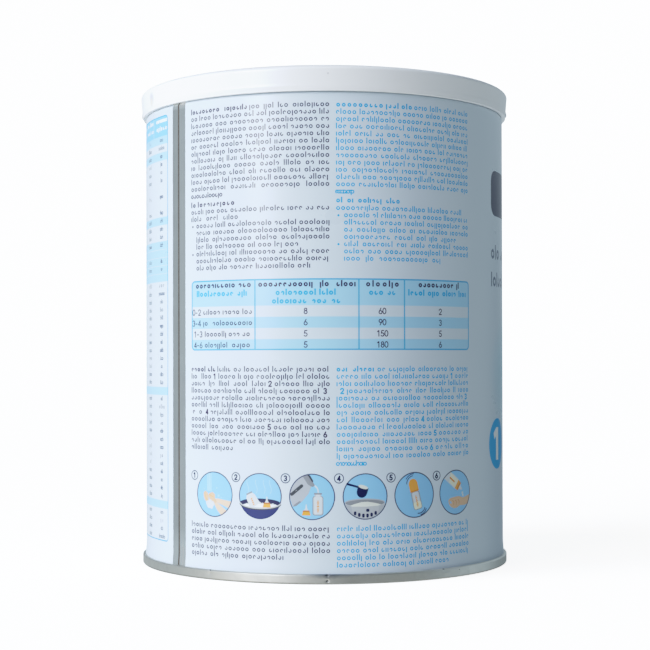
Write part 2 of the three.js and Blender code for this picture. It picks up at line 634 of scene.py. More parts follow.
# The feeding table on the instructions panel

TABLE = (-48.3, 54.5)
TABLE_TOP = 97.2
TABLE_ROWS = (88.6, 85.05, 81.45, 77.9, 74.35)
TABLE_COLUMNS = (-22.8, 11.1, 26.6)
RULE = 0.46


def outlined_box(sheet, x0, y0, x1, y1, radius, rule, ink, fill):
    sheet.shape(round_box(x0, y0, x1, y1, radius), ink)
    sheet.shape(round_box(x0 + rule, y0 + rule, x1 - rule, y1 - rule, radius - rule), fill)


def feeding_table(sheet, rng):
    x0, x1 = TABLE
    bottom = TABLE_ROWS[-1]
    outlined_box(sheet, x0, bottom, x1, TABLE_TOP, 1.5, RULE, "line_blue", "pale_blue")
    for top, low in (TABLE_ROWS[0:2], TABLE_ROWS[2:4]):
        sheet.box(x0 + RULE, low, x1 - RULE, top, "ground")
    for x in TABLE_COLUMNS:
        sheet.box(x - RULE / 2, bottom + RULE / 2, x + RULE / 2, TABLE_TOP - RULE / 2, "line_blue")
    heads = (
        (-46.2, -24.2, 95.3, "text_navy"), (-45.8, -25.2, 92.6, "cyan_ink"),
        (-21.7, 10.0, 95.3, "text_navy"), (-15.8, 4.1, 92.6, "cyan_ink"), (-17.0, 5.2, 89.9, "cyan_ink"),
        (13.2, 24.8, 95.3, "text_navy"), (14.4, 23.5, 92.6, "cyan_ink"),
        (31.8, 49.6, 95.3, "text_navy"), (28.0, 53.2, 92.6, "cyan_ink"),
    )
    for start, end, y, ink in heads:
        word_row(sheet, start, end, y, ink, rng, bold=True, size=1.1, under="pale_blue")
    middles = [(a + b) / 2 for a, b in zip(TABLE_ROWS, TABLE_ROWS[1:])]
    ages = ("0-2", "3-4", "1-3", "4-6")
    values = (("8", "6", "5", "5"), ("60", "90", "150", "180"), ("2", "3", "5", "6"))
    centres = (-6.0, 18.9, 40.6)
    for i, y in enumerate(middles):
        start = -45.9 if i < 2 else -45.2
        end = -23.8 if i < 2 else -24.6
        number(sheet, ages[i], start, y, DIGIT_H, "text_navy")
        word_row(sheet, start + 3.0, end, y - 0.2, "text_navy", rng, under="pale_blue" if i % 2 else "ground")
        for centre, column in zip(centres, values):
            number(sheet, column[i], centre, y, DIGIT_H, "text_navy")


# The six steps

STEP_FIRST = -38.4
STEP_PITCH = 17.16
STEP_Z = 27.7
STEP_R = 7.4
STEP_RULE = 0.36
NUMBER_SHIFT = (-8.55, 5.85)
NUMBER_R = 1.62


def low_segment(x, y, radius, cut, steps=16):
    """The part of a disc that lies below a cut, as an outline."""
    angle = math.degrees(math.asin(cut / radius))
    return arc_points(x, y, radius, 180 - angle, 360 + angle, steps)


def shape_in_disc(sheet, points, x, y, ink):
    """A shape given from the middle of a step's disc, drawn in to the disc's edge where it passes it."""
    outline = []
    limit = STEP_R - STEP_RULE
    for (ax, ay), (bx, by) in zip(points, points[1:] + points[:1]):
        parts = max(1, round(math.hypot(bx - ax, by - ay) / 0.8))
        for k in range(parts):
            px, py = ax + (bx - ax) * k / parts, ay + (by - ay) * k / parts
            pull = min(1.0, limit / max(math.hypot(px, py), 0.01))
            outline.append((x + px * pull, y + py * pull))
    sheet.shape(outline, ink)


def discs(sheet, places, x, y, ink, steps):
    """Discs by their place from (x, y) and their radius."""
    for dx, dy, radius in places:
        sheet.disc(x + dx, y + dy, radius, ink, steps)


def bottle_body(sheet, x, y, turn, height, fill, half=1.6):
    """A clear bottle with marks up its side, filled to a part of its height, drawn from its foot."""
    def put(points):
        return placed(points, x, y, turn)
    sheet.shape(put(round_box(-half, 0, half, height, 0.8)), "mid_grey")
    sheet.shape(put(round_box(-half + 0.2, 0.2, half - 0.2, height - 0.15, 0.7)), "light_grey")
    sheet.shape(put(round_box(-half + 0.48, 0.4, half - 0.48, height - 0.3, 0.5)), "glass")
    if fill:
        sheet.shape(put(round_box(-half + 0.2, 0.2, half - 0.2, height * fill, 0.6)), "milk")
    for k in range(7):
        low = height * (0.16 + 0.09 * k)
        high = low + 0.42
        wide = 0.36 if k % 2 else 0.22
        sheet.shape(put([(-wide, low), (wide, low), (wide, high), (-wide, high)]), "orange")


def teat(sheet, x, y):
    """A bottle's cap with its teat, standing on its foot."""
    sheet.shape([(x - 1.4, y), (x + 1.4, y), (x + 1.15, y + 1.1), (x - 1.15, y + 1.1)], "orange")
    sheet.shape([(x - 1.15, y + 1.1), (x + 1.15, y + 1.1), (x + 1.0, y + 1.6), (x - 1.0, y + 1.6)], "rust")
    sheet.shape([(x - 0.65, y + 1.6), (x + 0.65, y + 1.6), (x + 0.28, y + 2.3), (x + 0.15, y + 3.5),
                 (x - 0.15, y + 3.5), (x - 0.28, y + 2.3)], "glass")


def step_wash(sheet, x, y):
    for dx, wide in ((-2.6, 0.28), (-1.9, 0.42), (-1.2, 0.22)):
        stream = [(dx - wide, 1.0), (dx + wide, 1.0), (dx + wide * 0.7, 6.8), (dx - wide * 0.7, 6.8)]
        shape_in_disc(sheet, stream, x, y, "pale_blue")
    lower_arm = [(0.2, -2.0), (1.3, -2.6), (3.3, -3.9), (6.0, -5.8), (3.2, -7.0), (1.2, -4.9), (0.1, -3.0)]
    upper_arm = [(0.3, -1.5), (1.7, -1.3), (4.2, -1.7), (7.4, -2.1), (7.4, -5.0), (4.4, -3.7), (0.7, -2.4)]
    shape_in_disc(sheet, lower_arm, x, y, "pale_tan")
    shape_in_disc(sheet, upper_arm, x, y, "pale_tan")
    fingers = [(-2.0, 0.3), (-0.6, 0.7), (0.5, -0.1), (0.4, -1.1),
               (1.2, -2.4), (0.3, -3.0), (-1.6, -1.9), (-2.3, -0.7)]
    shape_in_disc(sheet, fingers, x, y, "tan")
    palm = [(-4.4, 0.4), (-3.6, 1.0), (-2.7, 0.4), (-2.2, -0.6),
            (-2.2, -2.0), (-3.0, -2.8), (-3.9, -2.0), (-4.4, -0.9)]
    shape_in_disc(sheet, palm, x, y, "tan")
    sheet.pen([(x - 4.0, y + 0.2), (x - 3.0, y - 1.9)], 0.14, "orange")
    sheet.pen([(x - 2.2, y - 0.1), (x - 0.2, y - 0.9)], 0.14, "orange")
    foam = ((-2.6, -2.9, 0.8), (-1.6, -2.6, 0.9), (-0.7, -3.1, 0.9), (-1.9, -3.6, 1.0), (-1.0, -4.2, 0.6))
    drops = ((1.9, -0.4, 0.45), (1.2, 2.1, 0.28), (-6.1, 0.2, 0.25), (2.9, -0.9, 0.22), (-4.2, 1.7, 0.2))
    discs(sheet, foam, x, y, "glass", 18)
    discs(sheet, drops, x, y, "pale_blue", 12)


def step_boil(sheet, x, y):
    sheet.shape(low_segment(x, y, STEP_R, -2.2), "pot_blue")
    sheet.disc(x, y - 2.1, 6.9, "navy", 48, 0.20)
    sheet.disc(x, y - 3.1, 6.3, "glass", 48, 0.135)
    foam = ((-4.6, -2.8, 0.45), (-0.2, -2.4, 0.6), (0.9, -2.6, 0.5), (4.4, -2.75, 0.5), (5.1, -2.9, 0.4))
    discs(sheet, foam, x, y, "glass", 16)
    sheet.disc(x, y - 3.0, 5.6, "white", 40, 0.10)

    def put(points, ink):
        sheet.shape(placed(points, x - 1.8, y - 3.4, 24), ink)

    put([(-1.6, -0.3), (2.2, 0.5), (1.6, 3.6), (1.0, 4.5), (-1.0, 4.5), (-1.6, 3.6)], "glass")
    put([(-1.1, 4.4), (1.1, 4.4), (1.1, 4.9), (-1.1, 4.9)], "mid_grey")
    for k in range(4):
        low, high = 0.6 + 0.62 * k, 1.05 + 0.62 * k
        put([(-0.25, low), (0.3, low), (0.3, high), (-0.25, high)], "orange")
    teat(sheet, x + 2.4, y - 3.6)
    front = arc_points(x, y - 2.35, 6.95, 188, 352, 24, 0.26)
    sheet.pen(front, 0.6, "dark_grey")
    sheet.pen([(px, py + 0.22) for px, py in front], 0.34, "light_grey")
    for sx in (-4.2, -1.2, 1.5, 3.6):
        wave = [(x + sx + 0.35 * math.sin(t * 1.3), y + 0.9 + t) for t in (0.0, 0.7, 1.4, 2.1, 2.8, 3.5, 4.2)]
        sheet.pen(wave, 0.24, "pale_blue")


def step_pour(sheet, x, y):
    jug = [(-3.0, 7.0), (-0.2, 3.3), (-1.1, 1.0), (-3.2, -1.5),
           (-5.0, -2.9), (-6.2, -3.2), (-7.4, 0.5), (-6.0, 5.0)]
    base = [(-3.4, -1.6), (-5.0, -2.9), (-6.2, -3.2), (-5.6, -2.4), (-4.0, -1.3)]
    spout = [(-3.4, 7.2), (-1.3, 3.9), (0.2, 3.1), (1.0, 3.6), (0.1, 5.2), (-1.4, 7.3)]
    shape_in_disc(sheet, jug, x, y, "steel_grey")
    shape_in_disc(sheet, base, x, y, "mid_grey")
    sheet.pen([(x - 6.5, y + 0.8), (x - 3.3, y + 3.5)], 1.05, "dark_grey", 10)
    sheet.pen([(x - 5.2, y + 1.9), (x - 4.9, y + 2.15)], 0.25, "mid_grey")
    shape_in_disc(sheet, spout, x, y, "mid_grey")
    shape_in_disc(sheet, [(-1.6, 7.3), (0.1, 4.6), (0.5, 5.0), (-0.9, 7.4)], x, y, "dark_grey")
    water = [(x + 1.0, y + 3.5), (x + 1.6, y + 2.9), (x + 1.95, y + 2.1), (x + 2.0, y + 1.2)]
    sheet.pen(water, 0.42, "glass")
    bottle_body(sheet, x + 1.9, y - 5.9, 0, 6.2, 0.0, 1.75)
    sheet.box(x + 0.85, y + 0.1, x + 2.95, y + 1.0, "light_grey")
    sheet.shape(round_box(x + 0.6, y + 0.75, x + 3.2, y + 1.25, 0.2), "mid_grey")
    sheet.box(x + 1.25, y + 0.1, x + 2.55, y + 0.7, "glass")
    teat(sheet, x - 1.85, y - 5.9)


def step_scoop(sheet, x, y):
    sheet.shape(low_segment(x, y, STEP_R - STEP_RULE, -2.3), "light_grey")
    for side in (-1, 1):
        shade = [(side * 4.6, -3.0), (side * 7.4, -2.4), (side * 7.4, -8.0), (side * 3.6, -8.0)]
        shape_in_disc(sheet, shade, x, y, "steel_grey")
    sheet.disc(x - 0.1, y - 1.9, 6.65, "steel_grey", 48, 0.19)
    sheet.disc(x - 0.1, y - 2.05, 6.35, "mid_grey", 48, 0.165)
    heap = [(-5.1, -2.9), (-3.4, -2.3), (-1.2, -1.75), (0.8, -1.7), (3.2, -2.1),
            (5.2, -2.6), (4.2, -3.0), (0, -3.25), (-4.2, -3.15)]
    sheet.shape(placed(heap, x, y), "powder")
    for k in range(6):
        at = 1.35 * (k - 2.5)
        foot = -6.75 + 0.07 * at * at
        shape_in_disc(sheet, round_box(at - 0.42, foot, at + 0.42, foot + 1.3, 0.4), x, y, "navy")
    shape_in_disc(sheet, round_box(0.2, -4.9, 1.3, -3.9, 0.4), x, y, "navy")
    sheet.pen([(x - 5.9, y + 4.05), (x - 1.9, y + 2.9)], 0.68, "navy")
    cup = arc_points(0, -0.3, 1.72, 188, 352, 12, 1.05) + [(1.85, 1.35), (-1.75, 1.35)]
    sheet.shape(placed(cup, x - 1.05, y + 1.7, -14), "navy")
    sheet.shape(placed(arc_points(0, 0, 1.62, 0, 350, 20, 0.36), x - 0.72, y + 3.05, -16), "powder")


def step_shake(sheet, x, y):
    foot_x, foot_y, lean = x + 1.4, y - 4.7, 14
    bottle_body(sheet, foot_x, foot_y, lean, 6.0, 0.42, 1.62)
    cap = [(-1.62, 5.9), (1.62, 5.9), (1.62, 8.6)] + arc_points(0, 8.6, 1.55, 10, 170, 12) + [(-1.62, 8.6)]
    collar = [(-1.62, 5.9), (1.62, 5.9), (1.62, 6.35), (-1.62, 6.35)]
    sheet.shape(placed(cap, foot_x, foot_y, lean), "orange")
    sheet.shape(placed(collar, foot_x, foot_y, lean), "deep_orange")
    for radius, start, end in ((2.6, 100, 180), (3.2, 92, 150)):
        sheet.pen(arc_points(x - 0.4, y + 3.6, radius, start, end, 8), 0.3, "outline")
    for radius, start, end in ((2.4, 262, 345), (3.0, 285, 340)):
        sheet.pen(arc_points(x + 1.5, y - 3.6, radius, start, end, 8), 0.34, "outline")


def step_test(sheet, x, y):
    tip = (3.2, 0.7)
    turn = 234

    def put(points, ink):
        shape_in_disc(sheet, placed(points, tip[0], tip[1], turn), x, y, ink)

    put([(-1.75, -12.0), (1.75, -12.0), (1.75, -3.4), (-1.75, -3.4)], "glass")
    put([(-1.5, -7.9), (1.5, -6.6), (1.5, -3.5), (-1.5, -3.5)], "milk")
    put([(-0.25, -7.4), (0.3, -7.4), (0.3, -4.6), (-0.25, -4.6)], "deep_orange")
    put([(-1.7, -3.4), (1.7, -3.4), (1.4, -1.7), (-1.4, -1.7)], "orange")
    put([(-1.55, -2.4), (1.55, -2.4), (1.45, -2.0), (-1.45, -2.0)], "rust")
    put([(-0.75, -1.7), (0.75, -1.7), (0.2, -0.1), (-0.2, -0.1)], "glass")
    for dx, dy in ((3.3, -0.3), (3.6, -1.1)):
        sheet.disc(x + dx, y + dy, 0.34, "powder", 12, 1.3)
    hand = [(-3.5, -2.5), (-2.6, -1.8), (0.2, -1.4), (1.6, -1.35), (3.6, -1.9), (7.4, -1.0), (7.4, -3.9),
            (4.4, -4.4), (2.0, -4.4), (0.6, -5.1), (-1.0, -5.2), (-2.4, -4.6), (-3.2, -3.7)]
    shape_in_disc(sheet, hand, x, y, "tan")
    shape_in_disc(sheet, [(-3.0, -2.7), (-2.2, -2.9), (-1.9, -3.6), (-2.6, -3.6)], x, y, "sky")
    for points in ([(-1.6, -2.6), (-0.9, -3.0), (-1.0, -4.2)], [(-0.3, -2.5), (0.3, -3.0), (0.2, -4.2)],
                   [(1.0, -2.4), (1.7, -2.9), (1.6, -3.9)]):
        sheet.pen([(x + px, y + py) for px, py in points], 0.14, "rust")


def steps(sheet):
    drawings = (step_wash, step_boil, step_pour, step_scoop, step_shake, step_test)
    for i, draw in enumerate(drawings):
        x = STEP_FIRST + i * STEP_PITCH
        sheet.disc(x, STEP_Z, STEP_R, "outline", 72)
        sheet.disc(x, STEP_Z, STEP_R - STEP_RULE, "sky", 72)
        draw(sheet, x, STEP_Z)
        number_x, number_z = x + NUMBER_SHIFT[0], STEP_Z + NUMBER_SHIFT[1]
        sheet.disc(number_x, number_z, NUMBER_R, "outline", 36)
        sheet.disc(number_x, number_z, NUMBER_R - 0.32, "ground", 36)
        number(sheet, str(i + 1), number_x - 0.02, number_z, 1.7, "navy", 0.46)


# The contents table, left of the side seam

CONTENTS = (-150.0, -62.0)
CONTENTS_TOP = 154.0
CONTENTS_HEAD = 147.1
CONTENTS_PITCH = 2.738
CONTENTS_ROWS = 50
CONTENTS_COLUMN = 12.2
CONTENTS_CENTRES = (-67.0, -79.2, -91.4)
UNIT_LENGTHS = (0.6, 0.6, 1.1, 1.1, 1.1, 1.2, 2.3)
BLUE_ROWS = (0, 2, 10, 13, 14, 15, 16, 17, 31, 45)
EMPTY_ROWS = (6, 8, 14, 17, 31, 45)


def contents_table(sheet, rng):
    x0, x1 = CONTENTS
    bottom = CONTENTS_HEAD - CONTENTS_ROWS * CONTENTS_PITCH
    outlined_box(sheet, x0, bottom, x1, CONTENTS_TOP, 1.6, 0.4, "line_blue", "ground")
    sheet.shape(round_box(x0 + 0.4, CONTENTS_HEAD - 2, x1 - 0.4, CONTENTS_TOP - 0.4, 1.2), "head_blue")
    sheet.box(x0 + 0.4, CONTENTS_HEAD - 2.1, x1 - 0.4, CONTENTS_HEAD, "ground")
    columns = [x1 - CONTENTS_COLUMN * k for k in (1, 2, 3)]
    for k in range(CONTENTS_ROWS):
        top = CONTENTS_HEAD - k * CONTENTS_PITCH
        low = top - CONTENTS_PITCH
        if k in BLUE_ROWS:
            rise = 0.12 if k - 1 in BLUE_ROWS else 0.0
            sheet.box(x0 + 0.4, low, x1 - 0.4, top - rise, "pale_blue")
        middle = (top + low) / 2
        if k not in EMPTY_ROWS:
            under = "pale_blue" if k in BLUE_ROWS else "ground"
            for centre, spread in zip(CONTENTS_CENTRES, (rng.choice(UNIT_LENGTHS), 1.8, 1.8)):
                word_row(sheet, centre - spread, centre + spread, middle, "slate", rng, size=0.8, under=under)
            name_end = x0 + 3 + rng.uniform(14, 40)
            word_row(sheet, x0 + 3, name_end, middle, "slate", rng, size=0.8, under=under, ragged=True)
    spans = [(centre - 4.4, centre + 4.4) for centre in CONTENTS_CENTRES] + [(x0 + 4, x0 + 34)]
    for y in (152.3, 149.6):
        for start, end in spans:
            word_row(sheet, start, end, y, "white", rng, bold=True, size=0.9, under="head_blue")
    for x in columns:
        sheet.box(x - 0.10, CONTENTS_HEAD, x + 0.10, CONTENTS_TOP - 0.3, "ground")


# The front panel

FRONT_LEFT = 70.6
FRONT_RIGHT = 179.4
BADGE = (77.0, 42.4)
BADGE_R = 8.7


def front_panel(sheet, rng):
    for start, end in ((FRONT_LEFT, 98.0), (101.5, 143.0), (146.5, FRONT_RIGHT)):
        sheet.shape(round_box(start, 120.5, end, 136.0, 4.0), "navy")
    word_row(sheet, FRONT_LEFT, 150.0, 107.4, "slate", rng, size=2.7)
    word_row(sheet, FRONT_LEFT, 160.0, 98.0, "slate", rng, size=2.7)
    x, y = BADGE
    sheet.disc(x, y, BADGE_R, "cyan_ink", 72)
    one = [(-1.1, -5.6), (1.9, -5.6), (1.9, 5.6), (-0.7, 5.6), (-3.9, 3.7), (-3.0, 1.5), (-1.1, 2.6)]
    sheet.shape(placed(one, x - 0.4, y), "white")


# The bare seam


def side_seam(sheet):
    sheet.box(BARE_LEFT, WALL_FOOT, WELD, WALL_TOP, "bare_steel")
    # The band right of the weld is the same bare steel painted lighter: a painted reflection.
    sheet.box(WELD, WALL_FOOT, BARE_RIGHT, WALL_TOP, "bare_steel_painted_lighter")
    sheet.box(WELD - WELD_HALF, WALL_FOOT, WELD + WELD_HALF, WALL_TOP, "weld_line")


# The printed wall


def wall_radius(arc, z):
    """How far the wall is from the axis: flared above the seam, necked below the lid, ridged at the weld."""
    radius = WALL_R
    radius += FLARE * (1 - smooth_step((z - SEAM_H) / (FLARE_TOP - SEAM_H)))
    radius -= (WALL_R - NECK_R) * smooth_step((z - NECK_START) / (WALL_TOP - NECK_START))
    from_weld = arc - WELD
    radius -= 0.03 * math.exp(-((from_weld / 0.40) ** 2))
    return radius


def wall_normal(arc, z):
    step = 0.05
    slope_z = (wall_radius(arc, z + step) - wall_radius(arc, z - step)) / (2 * step)
    slope_arc = (wall_radius(arc + step, z) - wall_radius(arc - step, z)) / (2 * step)
    angle = arc / PRINT_R
    out = Vector((math.sin(angle), -math.cos(angle), 0))
    along = Vector((math.cos(angle), math.sin(angle), 0))
    return (out - along * slope_arc - Vector((0, 0, slope_z))).normalized()


def grid(sheet_points):
    """Lines that cut the flat sheet finely enough to be rolled up, with more of them where it bends."""
    points, edges = list(sheet_points), []

    def line(x0, y0, x1, y1):
        points.extend([(x0, y0), (x1, y1)])
        edges.append((len(points) - 2, len(points) - 1))

    arcs = [-HALF_ROUND + 2 * HALF_ROUND * k / GRID_COLUMNS for k in range(GRID_COLUMNS + 1)]
    arcs += [WELD + offset for offset in (-0.7, -0.2, 0.0, 0.2, 0.6, 0.95, 1.4)]
    for arc in arcs:
        line(arc, WALL_FOOT, arc, WALL_TOP)
    heights = [WALL_FOOT, SEAM_H]
    heights += [SEAM_H + (FLARE_TOP - SEAM_H) * k / 6 for k in range(1, 7)]
    heights += [NECK_START + (WALL_TOP - NECK_START) * k / 8 for k in range(9)]
    for z in heights:
        line(-HALF_ROUND, z, HALF_ROUND, z)
    return points, edges


def wrapped(arc):
    """The same place on the wall, counted within half a turn of the front."""
    return arc - 2 * HALF_ROUND * round(arc / (2 * HALF_ROUND))


def printed_wall():
    sheet = Print()
    rng = random.Random(5)
    side_seam(sheet)
    instructions(sheet, rng)
    feeding_table(sheet, rng)
    steps(sheet)
    contents_table(sheet, rng)
    front_panel(sheet, rng)

    points, edges = grid(sheet.points)
    flat, _, faces, _, _, owners = delaunay_2d_cdt(
        [Vector(p) for p in points], edges, sheet.outlines, 0, 1e-4, True)
    slots = ["ground"] + [name for name in INKS if name != "ground"] + list(BARE_SLOTS)
    slot_of = {name: i for i, name in enumerate(slots)}

    # Roll the sheet up, joining its two ends
    index, places, verts, normals = {}, [], [], []
    for p in flat:
        ends_meet = abs(abs(p.x) - HALF_ROUND) < 1e-3
        key = ("end", round(p.y, 3)) if ends_meet else (round(p.x, 4), round(p.y, 4))
        if key not in index:
            index[key] = len(verts)
            radius, angle = wall_radius(wrapped(p.x), p.y), p.x / PRINT_R
            verts.append((radius * math.sin(angle), -radius * math.cos(angle), p.y))
            normals.append(wall_normal(wrapped(p.x), p.y))
        places.append(index[key])

    polygons, face_slots, uvs = [], [], []
    for face, owner in zip(faces, owners):
        corners = [places[i] for i in face]
        if len(set(corners)) < 3:
            continue
        polygons.append(corners)
        face_slots.append(slot_of[sheet.inks[max(owner)]] if owner else 0)
        middle = sum(flat[i].x for i in face) / len(face)
        uvs += [sheet_uv(flat[i].x, flat[i].y, middle) for i in face]

    # Close the shell below, inside the seam, and above, inside the lid
    for z, top in ((WALL_FOOT, False), (WALL_TOP, True)):
        rim = sorted({i for i, v in enumerate(verts) if abs(v[2] - z) < 1e-3},
                     key=lambda i: math.atan2(verts[i][1], verts[i][0]))
        end_z = TIN_HIGH[2] if top else TIN_LOW[2]
        inner = []
        for i in rim:
            inner.append(len(verts))
            verts.append((verts[i][0] * 0.995, verts[i][1] * 0.995, end_z))
            normals.append(Vector((0, 0, 1 if top else -1)))
        hub = len(verts)
        verts.append((0, 0, end_z))
        normals.append(Vector((0, 0, 1 if top else -1)))
        for k in range(len(rim)):
            a, b = rim[k], rim[(k + 1) % len(rim)]
            c, d = inner[(k + 1) % len(rim)], inner[k]
            ring = [a, b, c, d] if top else [d, c, b, a]
            fan = [d, c, hub] if top else [hub, c, d]
            for face in (ring, fan):
                polygons.append(face)
                face_slots.append(0)
                uvs += [closing_uv(verts[i], top) for i in face]

    mesh = bpy.data.meshes.new("printed_wall")
    mesh.from_pydata([tuple(c * MM for c in v) for v in verts], [], polygons)
    for name in slots:
        mesh.materials.append(MATERIALS[name])
    mesh.polygons.foreach_set("material_index", face_slots)
    mesh.polygons.foreach_set("use_smooth", [True] * len(polygons))
    layer = mesh.uv_layers.new(name="OFBake")
    layer.data.foreach_set("uv", [c for uv in uvs for c in uv])
    mesh.normals_split_custom_set_from_vertices([tuple(n) for n in normals])
    mesh.update()
    piece = bpy.data.objects.new("printed_wall", mesh)
    bpy.context.scene.collection.objects.link(piece)
    return piece


UV_CLOSING = 0.03


def sheet_uv(arc, z, middle):
    """The front half of the wall over the back half, so that both get as much of an image."""
    height = (z - WALL_FOOT) / (WALL_TOP - WALL_FOOT)
    half = (1 - UV_CLOSING) / 2
    if abs(middle) <= QUARTER_ROUND:
        return ((arc + QUARTER_ROUND) / HALF_ROUND, UV_CLOSING + half + height * (half - 0.005))
    if middle < 0:
        arc += 2 * HALF_ROUND
    return ((arc - QUARTER_ROUND) / HALF_ROUND, UV_CLOSING + height * (half - 0.005))


def closing_uv(vertex, top):
    size = UV_CLOSING * 0.45
    shift = 0.5 if top else 0.1
    return (shift + size * vertex[0] / WALL_R / 2, UV_CLOSING / 2 + size * vertex[1] / WALL_R)


# Turned pieces


def angles_round(count, marks, radius):
    """Even angles all the way round, with finer ones near each small mark."""
    angles = [2 * math.pi * k / count for k in range(count)]
    for arc, _, wide, _, _ in marks:
        angles += [((arc + wide * k / 4) / radius) % (2 * math.pi) for k in range(-10, 11)]
    angles.sort()
    kept = angles[:1]
    for angle in angles[1:]:
        if angle - kept[-1] > 0.0004:
            kept.append(angle)
    return kept


def turned(name, profile, angles, material, shift, sharp=32):
    """A closed mesh of revolution from (radius, height) points that start and end on the axis."""
    verts, rings = [], []
    steps = len(angles)
    for radius, z in profile:
        if radius < 1e-6:
            rings.append([len(verts)])
            verts.append((0, 0, z * MM))
            continue
        ring = []
        for angle in angles:
            out, up = shift(angle, radius, z)
            reach = (radius + out) * MM
            ring.append(len(verts))
            verts.append((reach * math.sin(angle), -reach * math.cos(angle), (z + up) * MM))
        rings.append(ring)
    faces = []
    for low, high in zip(rings, rings[1:]):
        for k in range(steps):
            n = (k + 1) % steps
            if len(low) == 1:
                faces.append((low[0], high[n], high[k]))
            elif len(high) == 1:
                faces.append((low[k], low[n], high[0]))
            else:
                faces.append((low[k], low[n], high[n], high[k]))
    mesh = bpy.data.meshes.new(name)
    mesh.from_pydata(verts, [], faces)
    mesh.materials.append(material)
    mesh.polygons.foreach_set("use_smooth", [True] * len(faces))
    mesh.set_sharp_from_angle(angle=math.radians(sharp))
    mesh.update()
    piece = bpy.data.objects.new(name, mesh)
    bpy.context.scene.collection.objects.link(piece)
    return piece


def dent(angle, z, arc, height, wide, tall, depth, radius):
    """How far a small dent or bulge moves a point, from its arc, height and half sizes."""
    along = (angle if angle <= math.pi else angle - 2 * math.pi) * radius - arc
    return depth * math.exp(-((along / wide) ** 2) - ((z - height) / tall) ** 2)


LID_MARKS = (
    (-73.7, 160.4, 1.3, 1.6, -0.10),
    (1.3, 162.1, 0.35, 0.35, -0.04),
)


# Thin flash left by the mould on the line where the lid's foot begins, as azimuth and spread in degrees
FLASH_Z = LID_BOTTOM + LID_FOOT_H
FLASH_OUT = 0.38
FLASH_DROP = 0.9
FLASHES = ((-91, 5), (87, 6), (152, 8), (-141, 5))


def lid_shift(angle, radius, z):
    """The skirt isn't quite round, its foot is a little wavy, and it has a soft dimple."""
    if radius < LID_SKIRT_R - 2 or z > LID_TOP - 0.3:
        return 0.0, 0.0
    near_foot = 1 - smooth_step((z - LID_BOTTOM) / 2.0)
    out = near_foot * (0.14 * math.sin(angle) + 0.03 * math.sin(7 * angle + 1.9) - 0.03)
    for arc, height, wide, tall, depth in LID_MARKS:
        out += dent(angle, z, arc, height, wide, tall, depth, LID_TOP_R)
    up = near_foot * (0.05 + 0.03 * math.sin(2 * angle + 1.0) + 0.02 * math.sin(5 * angle))
    if abs(z - FLASH_Z) < 0.01:
        for azimuth, spread in FLASHES:
            away = (math.degrees(angle) - azimuth + 180) % 360 - 180
            flash = math.exp(-((away / spread) ** 2))
            out += FLASH_OUT * flash
            up -= FLASH_DROP * flash
    return out, up


def lid():
    under = TIN_HIGH[2] + 0.2
    inside = LID_SKIRT_R - LID_WALL
    foot_inside = wall_radius(0, LID_BOTTOM) + 0.02
    rim_inner = LID_TOP_R - LID_RIM_WIDTH
    sunk = LID_TOP - LID_SINK
    bead_r = 22.0
    profile = [(0, under), (inside - 0.8, under)]
    profile += arc_points(inside - 0.8, under - 0.8, 0.8, 90, 0, 4)[1:]
    profile += [(inside, LID_BOTTOM + 1.6), (foot_inside, LID_BOTTOM + 0.6), (foot_inside, LID_BOTTOM + 0.10)]
    edge_z = LID_BOTTOM + 0.04 + LID_FOOT_EDGE
    profile += arc_points(LID_FOOT_R - LID_FOOT_EDGE, edge_z, LID_FOOT_EDGE, -90, 0, 8)
    for k in range(1, 7):
        rise = LID_FOOT_EDGE + 0.1 + (LID_FOOT_H - LID_FOOT_EDGE - 0.4) * k / 6
        profile.append((LID_FOOT_R + (LID_SKIRT_R - LID_FOOT_R) * smooth_step(k / 6), LID_BOTTOM + rise))
    skirt_z = FLASH_Z + 0.12
    profile += [(LID_SKIRT_R, FLASH_Z), (LID_SKIRT_R, skirt_z)]
    shoulder = LID_TOP - LID_ROUND_H
    for k in range(1, 13):
        t = k / 13
        profile.append((LID_SKIRT_R + (LID_TOP_R - LID_SKIRT_R) * t, skirt_z + (shoulder - skirt_z) * t))
    squash = LID_ROUND_H / LID_ROUND_WIDTH
    profile += arc_points(LID_TOP_R - LID_ROUND_WIDTH, shoulder, LID_ROUND_WIDTH, 0, 90, 16, squash)
    profile += arc_points(rim_inner + 0.7, LID_TOP - 0.7, 0.7, 90, 165, 6)
    profile += arc_points(rim_inner - 0.6, sunk + 0.5, 0.5, -15, -90, 5)
    bead = ((3.2, 0), (2.4, 0.12), (1.6, 0.38), (0.8, 0.45), (0, 0.38), (-0.8, 0.12), (-1.6, 0))
    profile += [(bead_r + out, sunk + rise) for out, rise in bead]
    gate = ((2.4, 0), (2.1, -0.15), (1.2, -0.15), (1.0, 0.10), (0.5, 0.18), (0, 0.18))
    profile += [(radius, sunk + rise) for radius, rise in gate]
    angles = angles_round(360, LID_MARKS, LID_TOP_R)
    return turned("lid_shell", profile, angles, MATERIALS["lid"], lid_shift, sharp=50)


SEAM_MARKS = (
    (0.73, 3.15, 0.45, 0.45, -0.28),
    (0.75, 1.20, 0.50, 0.40, -0.20),
    (0.75, 1.75, 0.80, 0.35, 0.05),
    (41.5, 3.20, 0.60, 0.40, -0.22),
    (42.6, 2.45, 1.10, 0.35, -0.10),
    (42.8, 1.80, 1.30, 0.60, 0.08),
    (48.6, 2.45, 0.22, 0.22, -0.16),
    (-39.8, 3.15, 0.35, 0.35, -0.18),
    (-39.8, 2.0, 0.8, 0.45, -0.09),
    (62.0, 3.1, 0.6, 0.3, -0.06),
    (-95.0, 2.0, 1.5, 0.8, -0.07),
    (130.0, 2.8, 0.8, 0.5, -0.10),
)


